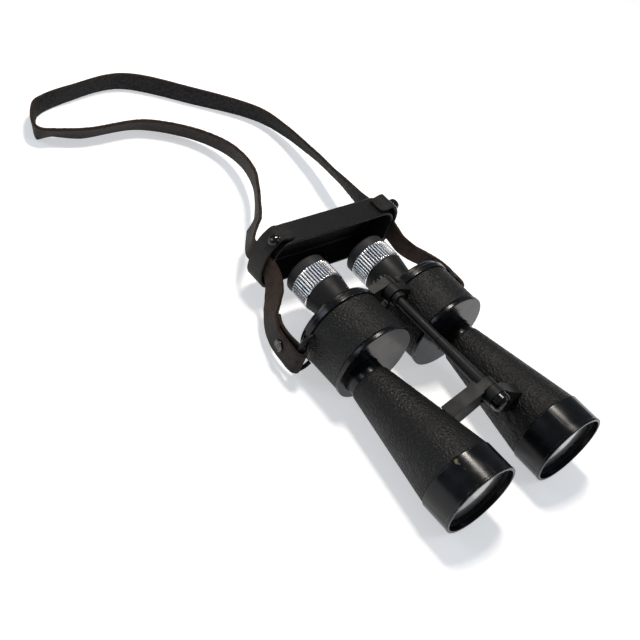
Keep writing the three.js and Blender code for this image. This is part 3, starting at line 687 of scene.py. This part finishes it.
def leather_sleeve(name, side, x, z, front, back, body, node, amount):
    """A leather skin from (radius, y) `front` to `back`, a grid of pebbled and wrinkled rows."""
    rows, segments = 90, 220
    thick = 0.6
    warp = wrinkles(x * side, side, amount)
    rings = []
    for k in range(rows + 1):
        share = k / rows
        radius = front[0] + (back[0] - front[0]) * share
        y = front[1] + (back[1] - front[1]) * share
        lip = min(share, 1 - share) * abs(front[1] - back[1])
        tuck = 0.35 * max(0.0, 1 - lip / 0.5) ** 2
        ring = []
        for angle in spokes(segments):
            end = x + k // (rows // 2)
            ragged = 0.22 * noise.noise(Vector((math.cos(angle) * 9, math.sin(angle) * 9, end)))
            shift = ragged * max(0.0, 1 - lip / 2)
            r = warp(radius, angle, y) - tuck
            ring.append((side * x + r * math.cos(angle), y + shift, z + r * math.sin(angle)))
        rings.append(ring)
    for radius, y in (back, front):
        r = radius - thick
        rings.append([(side * x + r * math.cos(a), y, z + r * math.sin(a)) for a in spokes(segments)])
    points, faces = skin(rings)
    piece(name, points, faces, body, TUBE_SKIN, node=node)


def objective(side, name, body):
    """Cell, front lens and tapered tube on the objective axis."""
    def at(part, outline, slot, material, **more):
        turned(f"{name}_{part}_fine", outline, side * OBJECTIVE_X, 0, body, slot, material,
               node=f"{name}_{part}", **more)
    at("objective_cell", [
        (CELL_BORE, 0, 0.25), (CELL_BORE, LENS_SEAT_Y, 0.1), (24.2, LENS_SEAT_Y, 0.2),
        (24.2, -17, 0.1), (25.2, -17, 0.1),
        (25.2, -CELL_LENGTH, 0.1), (CELL_R, -CELL_LENGTH, 0.5), (CELL_R, -2.3, 0.3),
        (CELL_R + 0.2, -1.7, 0.3), (CELL_R + 0.2, 0, 0.6),
    ], "black_enamel", ENAMEL, chip=(math.radians(56), 1.5 - CELL_LENGTH, 3.2) if side > 0 else None)
    steps = 10
    curve = [(LENS_R * k / steps, LENS_BULGE * (1 - (k / steps) ** 2)) for k in range(steps + 1)]
    bulge = [(radius, LENS_FRONT_Y + rise, 0) for radius, rise in curve]
    hollow = [(radius, LENS_BACK_Y - rise, 0) for radius, rise in reversed(curve)]
    place = Matrix.Translation((side * OBJECTIVE_X, 0, 0)) @ Matrix.Rotation(-math.pi / 2, 4, "X")
    plugged(f"{name}_objective_crown_lens_fine", bulge + hollow, place, body, FRONT_LENS,
            node=f"{name}_objective_crown_lens", segments=ROUND)
    front = -CELL_LENGTH - GAP
    bore = TUBE_BACK_R - 0.8 - GAP
    at("objective_tube", [
        (24.8, -17.4, 0.2), (24.8, front, 0.2), (TUBE_FRONT_R - 1.1, front, 0.1), (bore, TUBE_BACK_Y, 0.1),
        (NECK_R, TUBE_BACK_Y - GAP, 0.4), (NECK_R, DRUM_FRONT_Y - 3.2, 0.2),
        (NECK_R - 1.6, DRUM_FRONT_Y - 3.2, 0.2),
        (bore - 1.6, TUBE_BACK_Y, 0.1), (23.2, front, 0.1), (23.2, -17.4, 0.2),
    ], "black_enamel", ENAMEL)
    leather_sleeve(f"{name}_tube_leather_fine", side, OBJECTIVE_X, 0, (TUBE_FRONT_R - 0.1, front),
                   (TUBE_BACK_R - 0.1, TUBE_BACK_Y), body, f"{name}_tube_leather", 0.42)


def housing(side, name, body):
    """The prism housing with its front plate, stepped rear cap and leather."""
    x, z = side * DRUM_X, DRUM_Z
    hole_x = side * OBJECTIVE_X
    hole_r = NECK_R + 0.25
    back, front = DRUM_FRONT_Y - 3, DRUM_FRONT_Y
    outer = COVER_R - 0.2
    rim = soften([(hole_r, back, 0.1), (hole_r, front, 0.4), (outer, front, 0.7), (outer, back, 0.3)])
    plate = []
    for radius, y, edge in rim:
        share = (radius - hole_r) / (outer - hole_r)
        plate.append((hole_x + (x - hole_x) * share, z * share, radius, y, edge))
    eccentric(f"{name}_front_cover_fine", plate, body, ENAMEL, f"{name}_front_cover")
    turned(f"{name}_prism_housing_fine", [
        (DRUM_R, DRUM_FRONT_Y - 3.3, 0.2), (DRUM_R, DRUM_BACK_Y + GAP, 0.2),
        (DRUM_R - 1.5, DRUM_BACK_Y + GAP, 0.2), (DRUM_R - 1.5, DRUM_FRONT_Y - 3.3, 0.2),
    ], x, z, body, "black_enamel", ENAMEL, node=f"{name}_prism_housing")
    leather_sleeve(f"{name}_housing_leather_fine", side, DRUM_X, DRUM_Z, (DRUM_R + 0.9, DRUM_FRONT_Y - 3.6),
                   (DRUM_R + 0.9, DRUM_BACK_Y + GAP), body, f"{name}_housing_leather", 0.12)
    eye_x, eye_z, eye_hole = side * EYE_X, EYE_Z, 11.0
    cap = soften([
        (eye_hole, COVER_BACK_Y, 0.2), (DRUM_R, COVER_BACK_Y, 1.0), (DRUM_R, DRUM_BACK_Y - 4.2, 0.3),
        (COVER_R, DRUM_BACK_Y - 4.2, 0.8), (COVER_R, DRUM_BACK_Y, 0.4), (DRUM_R - 1.5, DRUM_BACK_Y, 0.2),
        (DRUM_R - 1.5, DRUM_BACK_Y - 4.2, 0.3), (eye_hole, DRUM_BACK_Y - 4.2, 0.2),
    ])
    sections = []
    for radius, y, edge in cap:
        share = min(1.0, (radius - eye_hole) / (DRUM_R - 1.5 - eye_hole))
        sections.append((eye_x + (x - eye_x) * share, eye_z + (z - eye_z) * share, radius, y, edge))
    eccentric(f"{name}_rear_cover_fine", sections, body, ENAMEL, f"{name}_rear_cover")


def flute(radius, angle, y):
    """The fluted ring's outside: rounded ribs that fade out at both chamfers."""
    if radius < 15:
        return radius
    fade = min(1.0, max(0.0, (y - FLUTE_BACK_Y) / 1.1), max(0.0, (FLUTE_FRONT_Y - y) / 1.1))
    wave = 0.5 - 0.5 * math.cos(angle * FOCUS_RIBS)
    return radius - FLUTE_DEPTH * fade * (1 - wave ** 0.8)


def focus_ring(side, name, body):
    """The fluted chrome ring, with the hollows marked for painted shade."""
    x, z = side * EYE_X, EYE_Z
    segments = FOCUS_RIBS * 12
    profile = soften([(13.2, RING_FRONT_Y, 0.2), (13.2, RING_BACK_Y, 0.2), (15.6, RING_BACK_Y, 0.2)])
    rows = 14
    start = FLUTE_BACK_Y + 0.1
    profile += [(FOCUS_R, start + (FLUTE_FRONT_Y - start) * k / rows, 0.0) for k in range(rows + 1)]
    profile.append((15.8, RING_FRONT_Y, 0.2))
    rings, hollow = [], []
    for radius, y, _ in profile:
        ring = []
        for angle in spokes(segments):
            r = flute(radius, angle, y)
            ring.append((x + r * math.cos(angle), y, z + r * math.sin(angle)))
            # hollow depth, which the chrome material turns into painted shade
            hollow.append(min(1.0, 1.25 * (radius - r) / FLUTE_DEPTH) if radius >= 15 else 0.0)
        rings.append(ring)
    points, faces = skin(rings)
    piece(f"{name}_focus_ring_fine", points, faces, body, CHROME, node=f"{name}_focus_ring",
          marks={"hollow": hollow})


def eyepiece(side, name, body):
    """Base cone, moving tube, fluted ring and eyecup on the eyepiece axis."""
    x, z = side * EYE_X, EYE_Z
    turned(f"{name}_eyepiece_base_fine", [
        (12.3, COVER_BACK_Y - GAP, 0.3), (15.7, -177.3, 0.5), (12.8, -177.3, 0.2), (12.8, -186, 0.2),
        (11, -186, 0.2), (11, COVER_BACK_Y - GAP, 0.2),
    ], x, z, body, "satin_black", SATIN, node=f"{name}_eyepiece_base")
    focus_ring(side, name, f"{name}_focus_ring")
    turned(f"{name}_eyecup_fine", [
        (EYECUP_R, -192.8, 0.2), (EYECUP_R, -198.6, 0.6), (EYECUP_R - 1.2, -200, 0.8), (12.6, -200, 0.8),
        (9, -196.4, 0.8), (7.5, -195.8, 0.2), (7.5, -195.3, 0.1), (11, -195.3, 0.1), (11, -192.8, 0.1),
    ], x, z, f"{name}_focus_ring", "eyecup_black", EYECUP, node=f"{name}_eyecup")
    turned(f"{name}_ocular_tube_fine", [
        (10.7, -160, 0.2), (10.7, -195, 0.2), (9, -195, 0.2), (9, -160, 0.2),
    ], x, z, f"{name}_ocular", "brass", BRASS, node=f"{name}_ocular_tube")


# ---- CAD pieces with rounded edges ----------------------------------------------------------
def write_in_order(work, mesh):
    """Write `work` to `mesh`, listed by place, since the order that a bevel leaves can vary."""
    corners = sorted(work.verts, key=lambda vert: tuple(vert.co))
    number = {vert: i for i, vert in enumerate(corners)}
    faces = [[number[vert] for vert in face.verts] for face in work.faces]
    mesh.clear_geometry()
    mesh.from_pydata([tuple(vert.co) for vert in corners], [], sorted(faces, key=sorted))


def rounded_copy(node, body, material):
    """A finer copy of a machined CAD piece, with its sharp edges rounded."""
    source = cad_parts[node]
    mesh = source.data.copy()
    mesh.name = node + "_fine"
    work = bmesh.new()
    work.from_mesh(mesh)
    bmesh.ops.remove_doubles(work, verts=work.verts, dist=1e-6)
    bmesh.ops.dissolve_limit(work, angle_limit=math.radians(1.0), verts=work.verts, edges=work.edges)
    edges = [e for e in work.edges if e.is_manifold and e.calc_face_angle(0) > ARM_SHARP]
    bmesh.ops.bevel(work, geom=edges, offset=ARM_ROUNDING / 1000, offset_type="OFFSET", segments=3,
                    profile=0.5, affect="EDGES", clamp_overlap=True)
    bmesh.ops.triangulate(work, faces=[f for f in work.faces if len(f.verts) > 4])
    bmesh.ops.recalc_face_normals(work, faces=work.faces)
    write_in_order(work, mesh)
    work.free()
    mesh.materials.clear()
    mesh.materials.append(material)
    mesh.shade_smooth()
    mesh.set_sharp_from_angle(angle=math.radians(30))
    obj = bpy.data.objects.new(node + "_fine", mesh)
    bpy.context.scene.collection.objects.link(obj)
    smooth = obj.modifiers.new("weighted", "WEIGHTED_NORMAL")
    smooth.keep_sharp = True
    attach(obj, body)
    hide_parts(node)


def wire_lug(side, name, body):
    """The bent wire that carries the strap, in the barrel's cross plane."""
    turn = 0.0 if side > 0 else LEFT_LUG_TURN
    corners = ((30.0, 5.3), (33.2, 4.6), (36.2, 1.4), (37, -3), (37, -12), (37, -21.5), (35.2, -25.2),
               (30.5, -26.6), (24, -25.6), (20.4, -22.7))
    points = []
    for a, b in corners:
        u = a * math.cos(turn) - b * math.sin(turn)
        v = a * math.sin(turn) + b * math.cos(turn)
        points.append((side * (DRUM_X + u), LUG_Y, DRUM_Z + v))
    path, _ = centripetal(points, 1.0)
    rings = []
    for k, (middle, _) in enumerate(path):
        along = (path[min(k + 1, len(path) - 1)][0] - path[max(k - 1, 0)][0]).normalized()
        out = along.cross(Vector((0, 1, 0))).normalized()
        ring = []
        for angle in spokes(20):
            across = out * math.cos(angle) + Vector((0, math.sin(angle), 0))
            ring.append(middle + across * LUG_WIRE_R)
        rings.append(ring)
    mesh_points, faces = skin(rings, closed_along=False, caps=(0, -1))
    piece(f"{name}_strap_lug_fine", mesh_points, faces, body, SATIN, node=f"{name}_strap_lug")


def hinge():
    """Arms, axle, sleeve, end nut and rear cap of the centre hinge."""
    for part, slot in (("front_arm", "satin_black"), ("rear_arm", "black_enamel")):
        for _, name in SIDES:
            rounded_copy(f"{name}_{part}", f"{name}_barrel", SATIN)
    turned("hinge_sleeve_fine", [
        (3.5, -99.5, 0.2), (4.4, -58, 0.3), (2.7, -58, 0.2), (2.7, -99.5, 0.2),
    ], 0, HINGE_Z, "right_barrel", "satin_black", SATIN, node="hinge_sleeve", segments=64)
    along = Matrix.Translation((0, 0, HINGE_Z)) @ Matrix.Rotation(-math.pi / 2, 4, "X")
    plugged("hinge_axle_fine", [
        (0, -159.5, 0), (2.4, -159.5, 0.3), (2.4, -142.7, 0.1), (5.5, -142.7, 0.4), (5.5, -139, 0.8),
        (3.2, -139, 0.6), (3.2, -99.8, 0.2), (2.4, -99.8, 0.1), (2.4, -39, 0.2), (0, -39, 0),
    ], along, "right_barrel", SATIN, node="hinge_axle", segments=64)
    plugged("hinge_end_nut_fine", [
        (0, -38.7, 0), (2.7, -38.7, 0.1), (2.7, -43.7, 0.1), (NUT_R, -43.7, 0.4), (NUT_R, -39.5, 0.8),
        (NUT_R - 1.2, -37.2, 1.5), (2.8, -36.1, 1.0), (0, -36, 0),
    ], along, "right_barrel", ENAMEL, node="hinge_end_nut", segments=64)
    plugged("hinge_rear_cap_fine", [
        (0, -159.8, 0), (2.7, -159.8, 0.1), (2.7, -157.3, 0.1), (5.6, -157.3, 0.3), (5.6, -159.6, 0.8),
        (4, -161.2, 1.0), (0, -161.6, 0),
    ], along, "right_barrel", ENAMEL, node="hinge_rear_cap", segments=64)


def barrels():
    for side, name in SIDES:
        body = f"{name}_barrel"
        objective(side, name, body)
        housing(side, name, body)
        eyepiece(side, name, body)
        wire_lug(side, name, body)
        for part, material in (("lens_retaining_ring", LACQUER), ("objective_flint_lens", LENS),
                               ("prism_shelf", LACQUER), ("rear_prism", PRISM), ("front_prism", PRISM),
                               ("rear_prism_clamp", STEEL), ("front_prism_clamp", STEEL),
                               ("field_lens", LENS), ("eye_lens", LENS)):
            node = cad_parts[f"{name}_{part}"]
            node.data.materials.clear()
            node.data.materials.append(material)


# ---- rain guard -----------------------------------------------------------------------------
def guard_outline(inset, y):
    """A rounded rectangle `inset` mm inside the guard's outside."""
    w = GUARD_HALF - inset
    low, high = GUARD_LOW + inset, GUARD_HIGH - inset
    r = max(GUARD_CORNER - inset, 1.0)
    ring = []
    for (cx, cz), start in (((w - r, low + r), -90), ((w - r, high - r), 0), ((r - w, high - r), 90),
                            ((r - w, low + r), 180)):
        for k in range(25):
            angle = math.radians(start + 90 * k / 24)
            ring.append((cx + r * math.cos(angle), cz + r * math.sin(angle)))
    result = []
    for a, b in zip(ring, ring[1:] + ring[:1]):
        gap = math.dist(a, b)
        count = max(1, round(gap / 3.5)) if gap > 4 else 1
        for k in range(count):
            share = k / count
            result.append((a[0] + (b[0] - a[0]) * share, a[1] + (b[1] - a[1]) * share))
    return [(GUARD_X + u, y, v) for u, v in result]


def guard_shell():
    """The leather-covered shell: rounded back edges, an open front with a turned lip."""
    wall = GUARD_WALL
    profile = soften([
        (12.0, GUARD_BACK_Y, 0), (0, GUARD_BACK_Y, 2.2), (0, GUARD_FRONT_Y, 0.7), (wall, GUARD_FRONT_Y, 0.6),
        (wall, GUARD_BACK_Y + wall, 1.2), (12.0, GUARD_BACK_Y + wall, 0),
    ], 5)
    rows = []
    for (inset, y, _), (after, y2, _) in zip(profile, profile[1:]):
        steps = max(1, round(abs(y2 - y) / 2.5))
        rows += [(inset + (after - inset) * k / steps, y + (y2 - y) * k / steps) for k in range(steps)]
    rows.append(profile[-1][:2])
    counts = len(guard_outline(0, 0))
    rings = []
    for inset, level in rows:
        outline = guard_outline(inset, level)
        if len(outline) != counts:
            outline = resampled(inset, level, counts)
        ring = []
        for x, y, z in outline:
            lump = 0.16 * noise.noise(Vector((x / 9, y / 7, z / 9)))
            ring.append((x, y, z + (lump if z > 0 else -lump)))
        rings.append(ring)
    points, faces = skin(rings, closed_along=False, caps=(0, -1))
    piece("rain_guard_shell", points, faces, "rain_guard", GUARD_SKIN,
          node="rain_guard")


def resampled(inset, y, count):
    """The same outline with `count` points, matched by their share of the outside's length."""
    outer = guard_outline(0, y)
    w = GUARD_HALF
    mid_z = (GUARD_LOW + GUARD_HIGH) / 2
    shrink_x = (w - inset) / w
    half_z = (GUARD_HIGH - GUARD_LOW) / 2
    shrink_z = (half_z - inset) / half_z
    return [(GUARD_X + (x - GUARD_X) * shrink_x, y, mid_z + (z - mid_z) * shrink_z)
            for x, _, z in outer[:count]]


def keeper_line():
    """The tab's middle line in X and Z from the top of the guard, round its end, to the bottom."""
    r = GUARD_CORNER + TAB_STANDOFF + TAB_THICKNESS / 2
    cx = GUARD_HALF - GUARD_CORNER
    high, low = GUARD_HIGH - GUARD_CORNER, GUARD_LOW + GUARD_CORNER
    lift = 0.35 + TAB_THICKNESS / 2
    points = [(cx - 3.5, 0, GUARD_HIGH + lift), (cx + 1.5, 0, GUARD_HIGH + lift + 0.2)]
    for z, angles in ((high, (62, 45, 25, 0)), (low, (0, -25, -45, -62))):
        for degrees in angles:
            a = math.radians(degrees)
            points.append((cx + r * math.cos(a), 0, z + r * math.sin(a)))
    points += [(cx + 1.5, 0, GUARD_LOW - lift - 0.2), (cx - 3.5, 0, GUARD_LOW - lift)]
    path, _ = centripetal(points, 0.9)
    return [p for p, _ in path]


def keeper_tab(side, name):
    """A leather tongue with rounded ends, wrapped round the strap and the guard's end."""
    line = keeper_line()
    middle_y = (TAB_BACK_Y + TAB_FRONT_Y) / 2
    half = (TAB_FRONT_Y - TAB_BACK_Y) / 2
    t = TAB_THICKNESS / 2
    rings, marks = [], []
    across = 12
    for k, spot in enumerate(line):
        along = (line[min(k + 1, len(line) - 1)] - line[max(k - 1, 0)]).normalized()
        out = Vector((along.z, 0, -along.x)) * -1
        near = min(k, len(line) - 1 - k) * 0.9
        round_end = math.sqrt(max(0.02, 1 - max(0.0, 1 - near / 6.0) ** 2))
        w = (half - 0.15) * (0.72 + 0.28 * round_end)
        section = [(w * (1 - 2 * j / across), t) for j in range(across + 1)]
        section = [(a * 0.97, b) for a, b in section] + [(-w, t * 0.4), (-w, -t * 0.4)]
        section += [(-a * 0.97, -t) for a, _ in section[:across + 1]]
        section += [(w, -t * 0.4), (w, t * 0.4)]
        ring = []
        for a, b in section:
            p = spot + out * (b + 0.06 * noise.noise(Vector((spot.x / 2, a / 2, spot.z / 2))))
            ring.append((GUARD_X + side * p.x, middle_y + a, p.z))
            marks.append(1.0 if abs(b) < t * 0.9 else 0.0)
        rings.append(ring)
    points, faces = skin(rings, closed_along=False, caps=(0, -1))
    piece(f"{name}_keeper_tab_fine", points, faces, "rain_guard", TAB_SKIN,
          node=f"{name}_keeper_tab", marks={"edge": marks})


def snap(side, name):
    """A press stud's cap: a domed button with a ring round it."""
    reach = GUARD_CORNER + TAB_STANDOFF + TAB_THICKNESS + 0.35
    x = GUARD_X + side * (GUARD_HALF - GUARD_CORNER + reach * math.cos(SNAP_TURN))
    z = GUARD_HIGH - GUARD_CORNER + reach * math.sin(SNAP_TURN)
    place = facing((side * math.cos(SNAP_TURN), 0, math.sin(SNAP_TURN)), (x, SNAP_Y, z))
    outline = [(0, -0.1, 0), (SNAP_R + 0.4, -0.1, 0.1), (SNAP_R + 0.4, 0.45, 0.2), (SNAP_R, 0.6, 0.2),
               (SNAP_R - 0.1, 1.3, 0.5), (3.3, 2.4, 1.4), (1.7, 3.2, 1.5), (0, 3.4, 0)]
    plugged(f"{name}_snap_fine", outline, place, "rain_guard", BUTTON, node=f"{name}_snap")


barrels()
hinge()
guard_shell()
for SIDE, NAME in SIDES:
    keeper_tab(SIDE, NAME)
    snap(SIDE, NAME)
